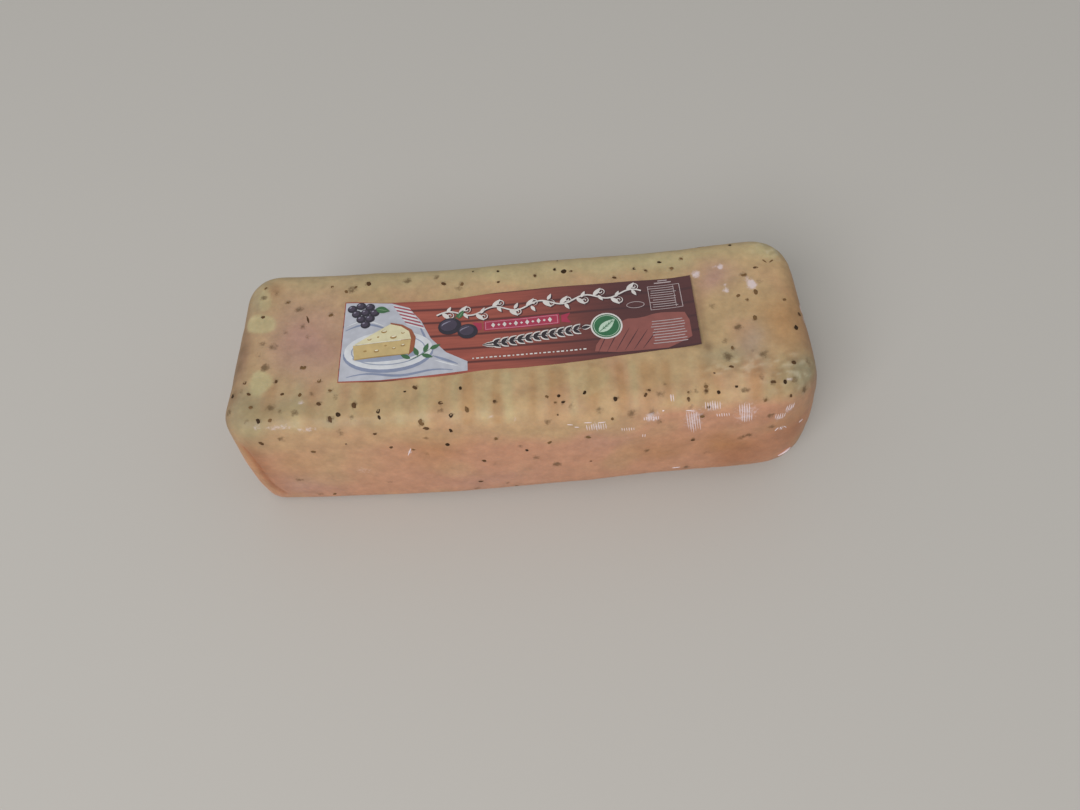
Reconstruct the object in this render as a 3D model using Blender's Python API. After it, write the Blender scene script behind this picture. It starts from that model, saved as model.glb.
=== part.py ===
"""A raclette loaf: a long rounded brick of pressed cheese with truffle flecks and a stuck-on label.

Metres, +Z up. +X runs along the loaf, -Y is the long side nearest the viewer, and the origin is
the middle of the flat base. The loaf and its label are two separate solids. They are made about the
middle of the loaf's own outline and moved to the origin at the end, as the ends swell unequally.
"""

import math
import random

import bmesh
import bpy
from mathutils import Matrix, Vector, noise
from mathutils.bvhtree import BVHTree

MM = 0.001

# Overall size of the loaf before its sides swell
LENGTH = 296 * MM
WIDTH = 101.5 * MM
HEIGHT = 79.5 * MM

# The four upright corners, counter-clockwise from the back right. Each has a radius in plan at the
# top and another at the base, and there the top edge and the base edge have radii of their own
CORNER_SIGNS = ((1, 1), (-1, 1), (-1, -1), (1, -1))
PLAN_RADIUS_TOP = (20 * MM, 17 * MM, 15 * MM, 26 * MM)
PLAN_RADIUS_BASE = (24 * MM, 16 * MM, 12 * MM, 20 * MM)
TOP_EDGE_RADIUS = (10 * MM, 10 * MM, 11 * MM, 13 * MM)
BASE_EDGE_RADIUS = (9 * MM, 7 * MM, 5 * MM, 19 * MM)

# How far the sides swell outwards at their fullest, and at which share of the height
SWELL_RIGHT = 6.0 * MM
SWELL_LEFT = 2.7 * MM
SWELL_LONG_SIDES = 2.3 * MM
SWELL_LEVEL = 0.43
# How far the long sides bow out halfway along, at the top and at the base
BOW_TOP = 1.0 * MM
BOW_BASE = 4.5 * MM
# How far the top sinks halfway along, front and back
SAG_FRONT = 1.5 * MM
SAG_BACK = 5.5 * MM
# How much further each end reaches at the front than at the middle of the loaf's width
SPLAY = 2.0 * MM
# How far the back right corner stands above the rest of the top
RAISED_CORNER = 5.0 * MM

# Broad lumps of the pressed curd as pairs of spacing and height, and where in the noise they lie
LUMPS = ((60 * MM, 1.0 * MM), (21 * MM, 0.5 * MM))
LUMP_PLACE = Vector((3.1, 7.4, 1.9))
LUMPS_BEGIN = 15 * MM

# Points round one upright corner and along one long or short side
CORNER_STEPS = 7
LONG_STEPS = 28
SHORT_STEPS = 9
# Rings round one long edge, up the side between the edges, and over the top
EDGE_STEPS = 5
SIDE_STEPS = 6
TOP_STEPS = 6

# Truffle flecks that stand out of the rind, read from the photograph to the nearest millimetre:
# x and y of those on the top, then x and z of those on the front
TOP_FLECKS = (
    (-147, -30), (-140, -24), (-137, -31), (-135, 18), (-131, -46), (-124, -24), (-120, -32),
    (-101, -39), (-101, 38), (-95, -47), (-90, -45), (-83, -41), (-81, 38), (-70, -46), (-57, -34),
    (-53, -32), (-40, -42), (-40, 37), (-34, -48), (-30, -34), (-27, -46), (-24, 45), (-13, -43),
    (-10, 35), (-10, 43), (10, 37), (19, -43), (21, 39), (27, 38), (32, -41), (45, -52), (47, -45),
    (53, 30), (64, -42), (64, 36), (70, 34), (78, 39), (83, -47), (84, 34), (93, -45), (98, -45),
    (98, -35), (106, -33), (107, -43), (108, -21), (117, 46), (121, -49), (121, 23), (122, -4),
    (125, -42), (126, 12), (128, 27), (131, -42), (134, -47), (134, 32), (137, -32), (139, 6),
    (143, -11), (146, -1),
)
FRONT_FLECKS = (
    (-132, 66), (-108, 57), (-89, 62), (-74, 69), (-67, 57), (-57, 54), (-48, 70), (-39, 57),
    (-35, 68), (-26, 19), (-22, 40), (-13, 60), (1, 48), (13, 54), (34, 33), (34, 56), (87, 46),
    (91, 66),
)
# How many more lie by chance on the two ends and the back, at what heights and how far apart
HIDDEN_FLECKS = 28
HIDDEN_SEED = 11
HIDDEN_SPACING = 12 * MM
HIDDEN_HEIGHTS = (10 * MM, 70 * MM)
# Size of a fleck, how narrow it can be, and how far it stands out of the rind and reaches in
FLECK_SIZE = (1.7 * MM, 3.0 * MM)
FLECK_NARROWEST = 0.6
FLECK_UNEVEN = (0.85, 1.15)
FLECK_CROWN = 0.62
FLECK_PROUD = 0.45 * MM
FLECK_SINK = 1.2 * MM
FLECK_SIDES = 6
FLECK_SEED = 5

# The label's outline as seen from above, from its left end: x, front edge y and back edge y
LABEL_OUTLINE = (
    (-92.5 * MM, -26.5 * MM, 26.0 * MM),
    (-71 * MM, -27.5 * MM, 24.5 * MM),
    (-48 * MM, -26.0 * MM, 24.5 * MM),
    (-6 * MM, -23.5 * MM, 27.5 * MM),
    (93 * MM, -18.5 * MM, 27.0 * MM),
)
LABEL_THICKNESS = 0.4 * MM
LABEL_GAP = 0.3 * MM
# How far the right end has come unstuck, and over what length
LABEL_LIFT = 1.2 * MM
LABEL_LOOSE = 12 * MM
# How far around each of its points the label is kept clear of the loaf's facets
LABEL_FEEL = 3 * MM
LABEL_STEPS_LONG = 32
LABEL_STEPS_WIDE = 8

RIND_COLOUR = (0.42, 0.24, 0.13, 1.0)
RIND_ROUGHNESS = 0.4
LABEL_COLOUR = (0.25, 0.07, 0.05, 1.0)
LABEL_ROUGHNESS = 0.5


def clear_scene():
    for thing in list(bpy.data.objects):
        bpy.data.objects.remove(thing, do_unlink=True)


def make_material(name, colour, roughness):
    made = bpy.data.materials.new(name)
    made.use_nodes = True
    shader = made.node_tree.nodes["Principled BSDF"]
    shader.inputs["Base Color"].default_value = colour
    shader.inputs["Roughness"].default_value = roughness
    shader.inputs["Metallic"].default_value = 0.0
    return made


def make_object(name, mesh, material):
    """Turns an edit mesh into a named object with smooth shading and its own material."""
    bmesh.ops.recalc_face_normals(mesh, faces=mesh.faces)
    data = bpy.data.meshes.new(name)
    mesh.to_mesh(data)
    mesh.free()
    data.shade_smooth()
    data.materials.append(material)
    made = bpy.data.objects.new(name, data)
    bpy.context.scene.collection.objects.link(made)
    return made


def ease(start, end, share):
    """A value that leaves start and meets end without a kink."""
    return start + (end - start) * share * share * (3 - 2 * share)


def plan_outline(radii):
    """Points round the loaf in plan for four corner radii, with the way out from each."""
    centres = []
    for (side_x, side_y), radius in zip(CORNER_SIGNS, radii):
        centres.append(Vector((side_x * (LENGTH / 2 - radius), side_y * (WIDTH / 2 - radius))))
    points = []
    for corner in range(4):
        after = (corner + 1) % 4
        for step in range(CORNER_STEPS):
            angle = (corner + step / CORNER_STEPS) * math.pi / 2
            outward = Vector((math.cos(angle), math.sin(angle)))
            points.append((centres[corner] + radii[corner] * outward, outward))
        angle = (corner + 1) * math.pi / 2
        outward = Vector((math.cos(angle), math.sin(angle)))
        run_start = centres[corner] + radii[corner] * outward
        run_end = centres[after] + radii[after] * outward
        for step in range(side_steps(corner)):
            points.append((run_start.lerp(run_end, step / side_steps(corner)), outward))
    return points


def side_steps(corner):
    """Points along the side that follows this corner: the first side is a long one."""
    return LONG_STEPS if corner % 2 == 0 else SHORT_STEPS


def round_the_loaf(values):
    """One value for each point of the outline, easing from corner to corner."""
    found = []
    for corner in range(4):
        after = values[(corner + 1) % 4]
        found += [values[corner]] * CORNER_STEPS
        steps = side_steps(corner)
        found += [ease(values[corner], after, step / steps) for step in range(steps)]
    return found


def profile(top, base):
    """Inset and height of each ring from the flat base to the flat top, for two edge radii."""
    rings = []
    for step in range(EDGE_STEPS + 1):
        turn = math.pi / 2 * step / EDGE_STEPS
        rings.append((base * (1 - math.sin(turn)), base * (1 - math.cos(turn))))
    for step in range(1, SIDE_STEPS):
        rings.append((0.0, base + (HEIGHT - top - base) * step / SIDE_STEPS))
    for step in range(EDGE_STEPS + 1):
        turn = math.pi / 2 * step / EDGE_STEPS
        rings.append((top * (1 - math.cos(turn)), HEIGHT - top * (1 - math.sin(turn))))
    return rings


def swell(outward, height):
    """How far a side that faces outward stands out at this height."""
    level = (height / HEIGHT) ** (math.log(0.5) / math.log(SWELL_LEVEL))
    end = SWELL_RIGHT if outward.x > 0 else SWELL_LEFT
    return (end * outward.x**2 + SWELL_LONG_SIDES * outward.y**2) * 4 * level * (1 - level)


def settle(point):
    """Bows the long sides, splays the ends, sinks the top halfway along and lifts one corner."""
    along = point.x / (LENGTH / 2)
    across = point.y / (WIDTH / 2)
    upward = point.z / HEIGHT
    middle = 1 - along**2
    bow = (BOW_BASE + (BOW_TOP - BOW_BASE) * upward) * middle * across
    sag = (SAG_FRONT + (SAG_BACK - SAG_FRONT) * (across + 1) / 2) * middle
    lift = RAISED_CORNER * ease(0, 1, (along + 1) / 2) ** 2 * (across + 1) / 2
    return point + Vector((-SPLAY * across * along, bow, (lift - sag) * upward))


def loaf_rings():
    """Rings of points up the side of the loaf and inwards over its top."""
    top_outline = plan_outline(PLAN_RADIUS_TOP)
    base_outline = plan_outline(PLAN_RADIUS_BASE)
    edges = zip(round_the_loaf(TOP_EDGE_RADIUS), round_the_loaf(BASE_EDGE_RADIUS))
    profiles = [profile(top, base) for top, base in edges]
    rings = []
    for level in range(len(profiles[0])):
        ring = []
        for at_top, at_base, heights in zip(top_outline, base_outline, profiles):
            inset, height = heights[level]
            place = at_base[0].lerp(at_top[0], height / HEIGHT)
            outward = at_top[1]
            flat = place + outward * (swell(outward, height) - inset)
            ring.append(Vector((flat.x, flat.y, height)))
        rings.append(ring)
    edge = rings[-1]
    spine = (LENGTH - WIDTH) / 2
    for step in range(1, TOP_STEPS):
        ring = []
        for point in edge:
            middle = Vector((min(max(point.x, -spine), spine), 0, HEIGHT))
            ring.append(point.lerp(middle, step / TOP_STEPS))
        rings.append(ring)
    return [[settle(point) for point in ring] for ring in rings]


def raise_lumps(mesh):
    """Moves the rind in and out in broad lumps that fade out above the flat base."""
    mesh.normal_update()
    moves = []
    for vert in mesh.verts:
        rise = 0.0
        for spacing, height in LUMPS:
            rise += height * noise.noise(vert.co / spacing + LUMP_PLACE)
        moves.append(vert.normal * rise * min(1, vert.co.z / LUMPS_BEGIN))
    for vert, move in zip(mesh.verts, moves):
        vert.co += move


def make_loaf(material):
    mesh = bmesh.new()
    rings = [[mesh.verts.new(point) for point in ring] for ring in loaf_rings()]
    count = len(rings[0])
    for lower, upper in zip(rings, rings[1:]):
        for here in range(count):
            after = (here + 1) % count
            mesh.faces.new((lower[here], lower[after], upper[after], upper[here]))
    mesh.faces.new(rings[0])
    mesh.faces.new(rings[-1])
    bmesh.ops.recalc_face_normals(mesh, faces=mesh.faces)
    bmesh.ops.triangulate(mesh, faces=[face for face in mesh.faces if len(face.verts) > 4])
    raise_lumps(mesh)
    bmesh.ops.triangulate(mesh, faces=mesh.faces)
    return make_object("cheese_loaf", mesh, material)


def surface_of(thing):
    """A tree that finds where a ray meets this object."""
    places = [vert.co.copy() for vert in thing.data.vertices]
    faces = [tuple(face.vertices) for face in thing.data.polygons]
    return BVHTree.FromPolygons(places, faces)


def fleck_places(surface):
    """Where each fleck lies on the rind and which way the rind faces there."""
    rays = []
    for x, y in TOP_FLECKS:
        rays.append((Vector((x * MM, y * MM, 2 * HEIGHT)), Vector((0, 0, -1))))
    for x, z in FRONT_FLECKS:
        rays.append((Vector((x * MM, -WIDTH, z * MM)), Vector((0, 1, 0))))
    found = [surface.ray_cast(start, aim)[:2] for start, aim in rays]
    rng = random.Random(HIDDEN_SEED)
    while len(found) < len(rays) + HIDDEN_FLECKS:
        along = rng.uniform(-1, 1) * (LENGTH - WIDTH) / 2
        turn = rng.uniform(0, math.pi)
        start = Vector((along, 0, rng.uniform(*HIDDEN_HEIGHTS)))
        aim = Vector((math.cos(turn), math.sin(turn), 0))
        place, facing = surface.ray_cast(start, aim)[:2]
        if all((place - other).length > HIDDEN_SPACING for other, other_facing in found):
            found.append((place, facing))
    return found


def make_fleck(rng, place, facing):
    """One chip of truffle: a tapered slip that is sunk in the rind and stands out of it a little."""
    size = rng.uniform(*FLECK_SIZE)
    mesh = bmesh.new()
    bmesh.ops.create_cone(
        mesh,
        cap_ends=True,
        segments=FLECK_SIDES,
        radius1=size / 2,
        radius2=size / 2 * FLECK_CROWN,
        depth=FLECK_SINK + FLECK_PROUD,
    )
    for vert in mesh.verts:
        vert.co.xy *= rng.uniform(*FLECK_UNEVEN)
    narrow = Matrix.Diagonal((1, rng.uniform(FLECK_NARROWEST, 1), 1, 1))
    lift = Matrix.Translation((0, 0, (FLECK_PROUD - FLECK_SINK) / 2))
    spin = Matrix.Rotation(rng.uniform(0, math.pi), 4, "Z")
    upright = facing.to_track_quat("Z", "Y").to_matrix().to_4x4()
    mesh.transform(Matrix.Translation(place) @ upright @ spin @ lift @ narrow)
    data = bpy.data.meshes.new("fleck")
    mesh.to_mesh(data)
    mesh.free()
    return bpy.data.objects.new("fleck", data)


def join_flecks(loaf, surface):
    """Makes the flecks and the loaf one solid."""
    rng = random.Random(FLECK_SEED)
    flecks = bpy.data.collections.new("flecks")
    bpy.context.scene.collection.children.link(flecks)
    for place, facing in fleck_places(surface):
        flecks.objects.link(make_fleck(rng, place, facing))
    union = loaf.modifiers.new("flecks", "BOOLEAN")
    union.operation = "UNION"
    union.operand_type = "COLLECTION"
    union.collection = flecks
    union.solver = "EXACT"
    bpy.context.view_layer.objects.active = loaf
    bpy.ops.object.modifier_apply(modifier=union.name)
    for fleck in list(flecks.objects):
        bpy.data.objects.remove(fleck, do_unlink=True)
    bpy.data.collections.remove(flecks)
    mesh = bmesh.new()
    mesh.from_mesh(loaf.data)
    bmesh.ops.triangulate(mesh, faces=mesh.faces)
    mesh.to_mesh(loaf.data)
    mesh.free()


def label_edges(x):
    """The label's front and back edge at this x."""
    for (x0, front0, back0), (x1, front1, back1) in zip(LABEL_OUTLINE, LABEL_OUTLINE[1:]):
        if x <= x1:
            share = (x - x0) / (x1 - x0)
            return ease(front0, front1, share), ease(back0, back1, share)
    return front1, back1


def label_height(surface, x, y):
    """Height of the label's underside: clear of the loaf all round here, loose at its right end."""
    heights = []
    for x_step in (-LABEL_FEEL, 0, LABEL_FEEL):
        for y_step in (-LABEL_FEEL, 0, LABEL_FEEL):
            above = Vector((x + x_step, y + y_step, 2 * HEIGHT))
            heights.append(surface.ray_cast(above, Vector((0, 0, -1)))[0].z)
    top = max(heights)
    loose = max(0, 1 - (LABEL_OUTLINE[-1][0] - x) / LABEL_LOOSE)
    return top + LABEL_GAP + LABEL_LIFT * loose**2


def make_label(surface, material):
    """A thin sheet that follows the top of the loaf."""
    mesh = bmesh.new()
    left = LABEL_OUTLINE[0][0]
    right = LABEL_OUTLINE[-1][0]
    rows = []
    for column in range(LABEL_STEPS_LONG + 1):
        x = left + (right - left) * column / LABEL_STEPS_LONG
        front, back = label_edges(x)
        row = []
        for step in range(LABEL_STEPS_WIDE + 1):
            y = front + (back - front) * step / LABEL_STEPS_WIDE
            row.append(mesh.verts.new((x, y, label_height(surface, x, y))))
        rows.append(row)
    for here, after in zip(rows, rows[1:]):
        for step in range(LABEL_STEPS_WIDE):
            mesh.faces.new((here[step], after[step], after[step + 1], here[step + 1]))
    upper = bmesh.ops.extrude_face_region(mesh, geom=mesh.faces[:])
    raised = [item for item in upper["geom"] if isinstance(item, bmesh.types.BMVert)]
    bmesh.ops.translate(mesh, verts=raised, vec=(0, 0, LABEL_THICKNESS))
    bmesh.ops.triangulate(mesh, faces=mesh.faces)
    return make_object("label", mesh, material)


def middle_of_base(thing):
    """The middle of this object's bounding box, at its lowest level."""
    low = Vector([min(vert.co[axis] for vert in thing.data.vertices) for axis in range(3)])
    high = Vector([max(vert.co[axis] for vert in thing.data.vertices) for axis in range(3)])
    return Vector(((low.x + high.x) / 2, (low.y + high.y) / 2, low.z))


clear_scene()
cheese = make_loaf(make_material("rind", RIND_COLOUR, RIND_ROUGHNESS))
bare_surface = surface_of(cheese)
paper = make_label(bare_surface, make_material("label_paper", LABEL_COLOUR, LABEL_ROUGHNESS))
join_flecks(cheese, bare_surface)
to_origin = Matrix.Translation(-middle_of_base(cheese))
cheese.data.transform(to_origin)
paper.data.transform(to_origin)
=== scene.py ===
# %% [markdown]
# # A truffle raclette loaf
#
# The real object is a brick of pressed cheese, about thirty centimetres long, with a washed rind in
# straw yellow and salmon. A clear skin lies tight on it, bits of truffle show through the skin, and
# one long paper label is stuck along the top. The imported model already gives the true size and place
# of the loaf and its label, so this lesson starts from it and makes the surfaces of the real ones.

import math
import random

import bmesh
import bpy
import numpy as np
from mathutils import Matrix, Vector, noise
from mathutils.bvhtree import BVHTree


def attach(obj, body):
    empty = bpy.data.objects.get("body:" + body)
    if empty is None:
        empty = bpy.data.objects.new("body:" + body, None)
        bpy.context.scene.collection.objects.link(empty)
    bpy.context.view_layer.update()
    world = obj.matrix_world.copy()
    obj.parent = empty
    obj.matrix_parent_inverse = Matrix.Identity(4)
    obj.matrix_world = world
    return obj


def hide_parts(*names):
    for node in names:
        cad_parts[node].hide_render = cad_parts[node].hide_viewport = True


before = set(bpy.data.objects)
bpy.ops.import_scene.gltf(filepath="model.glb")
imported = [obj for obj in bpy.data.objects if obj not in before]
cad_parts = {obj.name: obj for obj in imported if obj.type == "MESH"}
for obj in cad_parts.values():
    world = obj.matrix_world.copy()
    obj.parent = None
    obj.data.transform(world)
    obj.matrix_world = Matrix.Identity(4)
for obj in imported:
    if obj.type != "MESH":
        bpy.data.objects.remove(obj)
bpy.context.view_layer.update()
MM = 0.001

# %% [markdown]
# ## Colours and nodes
#
# Colours are picked as the eye sees them, in sRGB, but Blender mixes light in linear values, so one
# function turns a hex colour into linear numbers. A second function adds a node with its settings and
# its links, which keeps every finish readable as a short recipe.


# %% Two helpers for every finish
def linear(hex_colour):
    """An sRGB colour such as c8a070 as linear red, green, blue and alpha."""
    shares = [int(hex_colour[at : at + 2], 16) / 255 for at in (0, 2, 4)]
    curved = [share / 12.92 if share < 0.04 else ((share + 0.055) / 1.055) ** 2.4 for share in shares]
    return curved + [1.0]


def add_node(material, kind, settings=None, links=None):
    """Adds a node. A setting is a property or a socket's value, a link is a (node, socket) pair."""
    node = material.node_tree.nodes.new("ShaderNode" + kind)
    for name, value in (settings or {}).items():
        if isinstance(name, str) and hasattr(node, name):
            setattr(node, name, value)
        else:
            node.inputs[name].default_value = value
    for name, (source, socket) in (links or {}).items():
        material.node_tree.links.new(source.outputs[socket], node.inputs[name])
    return node


def noise_to(low, high):
    """Settings that stretch noise, which mostly stays between 0.3 and 0.7, to another range."""
    return {"From Min": 0.3, "From Max": 0.7, "To Min": low, "To Max": high}


def new_finish(name):
    """An empty material, and the link to the object's own coordinates."""
    material = bpy.data.materials.new(name)
    material.use_nodes = True
    material.node_tree.nodes.clear()
    return material, (add_node(material, "TexCoord"), "Object")


def select_only(thing):
    """Operators act on all that is selected, so everything else is let go first."""
    bpy.ops.object.select_all(action="DESELECT")
    thing.select_set(True)
    bpy.context.view_layer.objects.active = thing


print("salmon in linear light:", [round(value, 3) for value in linear("cf9878")])

# %% [markdown]
# ## The loaf's surface
#
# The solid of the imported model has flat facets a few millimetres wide. The real rind is soft and
# rounded, with small dents from the cloth and the mould. A voxel remesh turns the facets into an even
# net of small quads, a smoothing pass melts the facets, and the net is then fine enough for dents.
# Sculpting a subdivided box by hand would give the same look, but would leave the true size.

# %% An even net over the loaf
NET = 1.25 * MM
MELT_PASSES = 8

rind = bpy.data.objects.new("washed_rind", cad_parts["cheese_loaf"].data.copy())
bpy.context.scene.collection.objects.link(rind)
select_only(rind)
bpy.ops.object.mode_set(mode="EDIT")
bpy.ops.mesh.select_all(action="SELECT")
bpy.ops.mesh.remove_doubles(threshold=0.01 * MM)
bpy.ops.object.mode_set(mode="OBJECT")
net = rind.modifiers.new("net", "REMESH")
net.mode = "VOXEL"
net.voxel_size = NET
bpy.ops.object.modifier_apply(modifier=net.name)
melt = rind.modifiers.new("melt", "SMOOTH")
melt.factor = 0.5
melt.iterations = MELT_PASSES
bpy.ops.object.modifier_apply(modifier=melt.name)
print("the net has", len(rind.data.polygons), "quads")

# %% [markdown]
# ## Where the skin is slack, and other places on the loaf
#
# Many things on the loaf happen at one place: a slack bit of skin, a crumbly corner, a patch of paler
# curd. All are described the same way, as a soft round field: a middle, how far it reaches along each
# axis, and how it fades. A little noise bends the fields, so that no edge looks drawn with compasses.

# %% Soft fields on the net
count = len(rind.data.vertices)
places = np.empty(count * 3)
rind.data.vertices.foreach_get("co", places)
places = places.reshape(-1, 3) / MM
facing = np.empty(count * 3)
rind.data.vertices.foreach_get("normal", facing)
facing = facing.reshape(-1, 3)


def noise_on(points, spacing, seed):
    """Smooth noise from about -1 to 1 at each point; spacing is in millimetres for each axis."""
    scaled = points / np.array(spacing, dtype=float) + seed * 17.3
    return np.array([noise.noise(point) for point in scaled.tolist()])


BEND = 5.0
bent = places + BEND * np.stack([noise_on(places, (16, 16, 16), seed) for seed in (1, 2, 3)], axis=1)


def field(middle, reach, points=bent):
    """A soft patch: 1 in its middle, fading to 0 over its reach along x, y and z."""
    away = ((points - np.array(middle)) / np.array(reach, dtype=float)) ** 2
    return np.exp(-1.5 * away.sum(axis=1))


def ramp(values, start, end):
    """0 below start, 1 above end and a smooth rise between them."""
    share = np.clip((values - start) / (end - start), 0, 1)
    return share * share * (3 - 2 * share)


print("fields are bent by up to", BEND, "mm over", count, "points")

# %% [markdown]
# ## Dents, wrinkles and the crumbly corners
#
# The rind has shallow dents all over, a crease down its front left corner, wrinkles where the skin
# has gathered near the front right corner, and rough curd at two corners. Each is a height in
# millimetres, added up for every point of the net, and the points then move out by their sum.

# %% Raise the small relief
DENTS = ((14, 0.22), (6, 0.10))
CREASE = ((-145.5, 61), (-143.2, 53), (-142.3, 43), (-142.0, 32), (-141.0, 21), (-137.5, 9))
CREASE_DEPTH = 1.0
CREASE_WIDTH = 1.7
WRINKLE_RISE = 0.36
CRUMB_RISE = 0.6

height = np.zeros(count)
for spacing, rise in DENTS:
    height += rise * noise_on(places, (spacing, spacing, spacing), spacing)
gathered = field((112, -33, 79), (26, 10, 12)) + 0.8 * field((134, -34, 77), (13, 14, 12))
height += WRINKLE_RISE * gathered * noise_on(places, (8, 3.6, 5), 21)
crumbly = field((140, 41, 80), (13, 12, 10)) + 0.9 * field((143, -36, 74), (8, 16, 12))
height += CRUMB_RISE * crumbly * noise_on(places, (4.2, 4.2, 4.2), 22)
on_front = ramp(-facing[:, 1], 0.3, 0.7)
from_below = CREASE[::-1]
crease_x = np.interp(places[:, 2], [z for x, z in from_below], [x for x, z in from_below])
crease_ends = ramp(places[:, 2], 5, 12) * (1 - ramp(places[:, 2], 56, 66))
across_crease = (places[:, 0] - crease_x) / CREASE_WIDTH
crease = on_front * crease_ends * np.exp(-(across_crease**2))
height -= CREASE_DEPTH * crease
settled = ramp(places[:, 2], 0.5, 8)
places += facing * (height * settled)[:, None]
places[:, 2] = np.maximum(places[:, 2], 0)
rind.data.vertices.foreach_set("co", (places * MM).ravel())
rind.data.update()
print("relief runs from", round(height.min(), 2), "to", round(height.max(), 2), "mm")

# %% [markdown]
# ## Where the truffle bits lie
#
# The bits on the top and the front were measured. Black ones lie right under the skin, brown ones a
# little deeper, and the faintest are no more than a stain in the curd. The solid has raised bumps for
# the larger bits, those on the ends and the back by a seeded rule, so the same rule runs again here
# and puts a bit on each bump.

# %% Places and sizes of the truffle bits
# Millimetres along x and y on the top, or along x and up z on the front, then how wide the bit is
TOP_BLACK = (
    (-132, -46, 1.6), (-92, -45, 1.6), (-59, -34, 1.1), (-36, -48, 1.5), (-31, -34, 1.5), (-25, 45, 0.9),
    (-11, 43, 1.2), (18, -42, 1.4), (20, -45, 1.3), (20, 40, 1.3), (25, 38, 1.9), (31, -41, 1.3),
    (46, -45, 1.8), (63, 36, 1.1), (77, 39, 1.6), (96, -35, 0.9), (97, -45, 1.6), (106, -43, 1.1),
    (130, -42, 1.7), (141, -11, 2.2), (116, 46, 1.1), (-147, -30, 1.8), (22, 48, 0.9), (17, -50, 0.6),
)
TOP_DARK = (
    (-141, -24, 1.3), (-138, -31, 1.7), (-137, 18, 1.5), (-125, -24, 1.3), (-121, -32, 1.3), (-102, -39, 1.7),
    (-96, -47, 2.0), (-82, 39, 2.0), (-84, -41, 2.4), (-54, -32, 2.0), (-41, -42, 1.6), (-41, 37, 1.9),
    (-14, -43, 1.2), (-11, 35, 1.2), (9, 37, 1.2), (29, 38, 1.2), (52, 31, 1.7), (61, -44, 1.6),
    (63, -42, 1.2), (69, 34, 1.2), (82, -47, 1.5), (91, -44, 1.4), (105, -32, 1.5), (124, -42, 1.8),
    (133, -47, 1.4), (136, -32, 1.8), (145, -1, 1.4),
)
TOP_BROWN = (
    (-138, 38, 1.2), (-136, -39, 1.8), (-126, -46, 1.8), (-125, 28, 1.2), (-112, -33, 1.6), (-112, -16, 2.4),
    (-103, -25, 1.7), (-102, 38, 1.4), (-101, 18, 2.0), (-97, -31, 1.3), (-94, 34, 1.6), (-89, 37, 1.6),
    (-51, -50, 2.4), (-28, -46, 2.0), (-31, 36, 1.6), (12, -42, 1.3), (16, -45, 0.9), (44, -52, 1.5),
    (82, -44, 0.9), (83, 34, 1.4), (89, 40, 1.3), (91, -42, 1.5), (92, -50, 1.2), (107, -21, 1.4),
    (115, 11, 1.5), (119, 8, 1.4), (120, -49, 1.3), (120, 24, 2.2), (121, -4, 2.3), (124, 12, 2.1),
    (138, 6, 1.3),
)
TOP_STAINS = (
    (-148, -39, 2.5), (-142, -29, 0.9), (-138, -46, 0.9), (-138, 31, 1.2), (-136, -7, 1.4), (-135, 0, 1.6),
    (-132, -15, 1.6), (-132, 35, 2.4), (-129, -2, 2.4), (-126, -40, 2.2), (-124, 7, 2.2), (-121, -42, 0.9),
    (-118, 23, 2.2), (-115, 11, 1.8), (-114, -43, 2.0), (-112, 4, 1.7), (-106, -33, 1.0), (-94, -35, 1.3),
    (-85, -47, 1.3), (-61, 40, 2.4), (-45, 42, 1.4), (-41, -46, 0.9), (-33, 33, 1.7), (12, -52, 1.3),
    (24, -47, 1.0), (38, -49, 2.0), (54, -51, 2.2), (64, -51, 1.9), (68, -44, 1.9), (71, -39, 1.4),
    (83, -50, 1.2), (86, -43, 1.6), (101, 6, 1.9), (104, -26, 2.4), (104, -17, 1.3), (110, -45, 1.0),
    (112, -9, 2.6), (117, -24, 1.3), (119, -39, 1.6), (122, -26, 2.4), (127, 19, 2.0), (135, -41, 1.8),
    (141, -43, 1.4), (144, -30, 2.5), (-91, 35.5, 3.8), (-83, 39.5, 3.2),
)
FRONT_BLACK = (
    (-40, 57, 1.5), (-37, 68, 1.7), (0, 48, 1.5), (33, 33, 0.8), (-91, 62, 0.8),
)
FRONT_DARK = (
    (-133, 66, 1.7), (-75, 69, 1.2), (-69, 57, 1.5), (-49, 70, 1.9), (-27, 19, 1.7), (-23, 40, 1.9),
    (86, 46, 1.7),
)
FRONT_BROWN = (
    (-109, 57, 1.7), (-58, 54, 1.2), (-15, 60, 1.9), (12, 54, 1.7), (32, 56, 2.0), (89, 66, 1.7),
    (-110, 8, 1.6), (-8, 9, 1.5),
)
FRONT_STAINS = (
    (-124, 28, 2.6), (-122, 69, 1.2), (-92, 71, 2.4), (-76, 22, 1.8), (-52, 49, 1.0), (-50, 63, 1.0),
    (-17, 37, 1.7), (-13, 15, 1.7), (-3, 52, 0.9), (15, 32, 2.3), (4, 40, 2.4), (62, 40, 1.4), (68, 65, 1.5),
    (72, 14, 1.4), (85, 17, 2.6), (95, 32, 1.8), (111, 45, 1.9), (115, 46, 1.6), (121, 34, 1.0),
    (124, 62, 2.0), (126, 52, 2.0), (-118, 9, 2.2), (-30, 10, 2.0), (30, 9, 2.0),
)
# Long slivers on the top: x, y, length, width and turn
SLIVERS = (
    (-72, -44.6, 2.6, 1.7, 65), (-71.7, -47.2, 2.6, 1.4, 100), (-113, 15.5, 5.0, 1.2, 16),
    (126.6, 28, 2.9, 1.3, 80), (131.8, 31.6, 3.2, 0.8, -8), (135.4, 31.2, 2.6, 0.9, 4),
    (100, 48.8, 5.5, 0.6, 0),
)
print(len(TOP_BLACK + TOP_DARK + TOP_BROWN + TOP_STAINS), "bits on the top")

# %% Find the surface under each bit
TALL = 120 * MM
net_faces = [tuple(face.vertices) for face in rind.data.polygons]
surface = BVHTree.FromPolygons([vert.co for vert in rind.data.vertices], net_faces)


def on_top(x, y):
    return surface.ray_cast(Vector((x * MM, y * MM, TALL)), Vector((0, 0, -1)))[:2]


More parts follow.
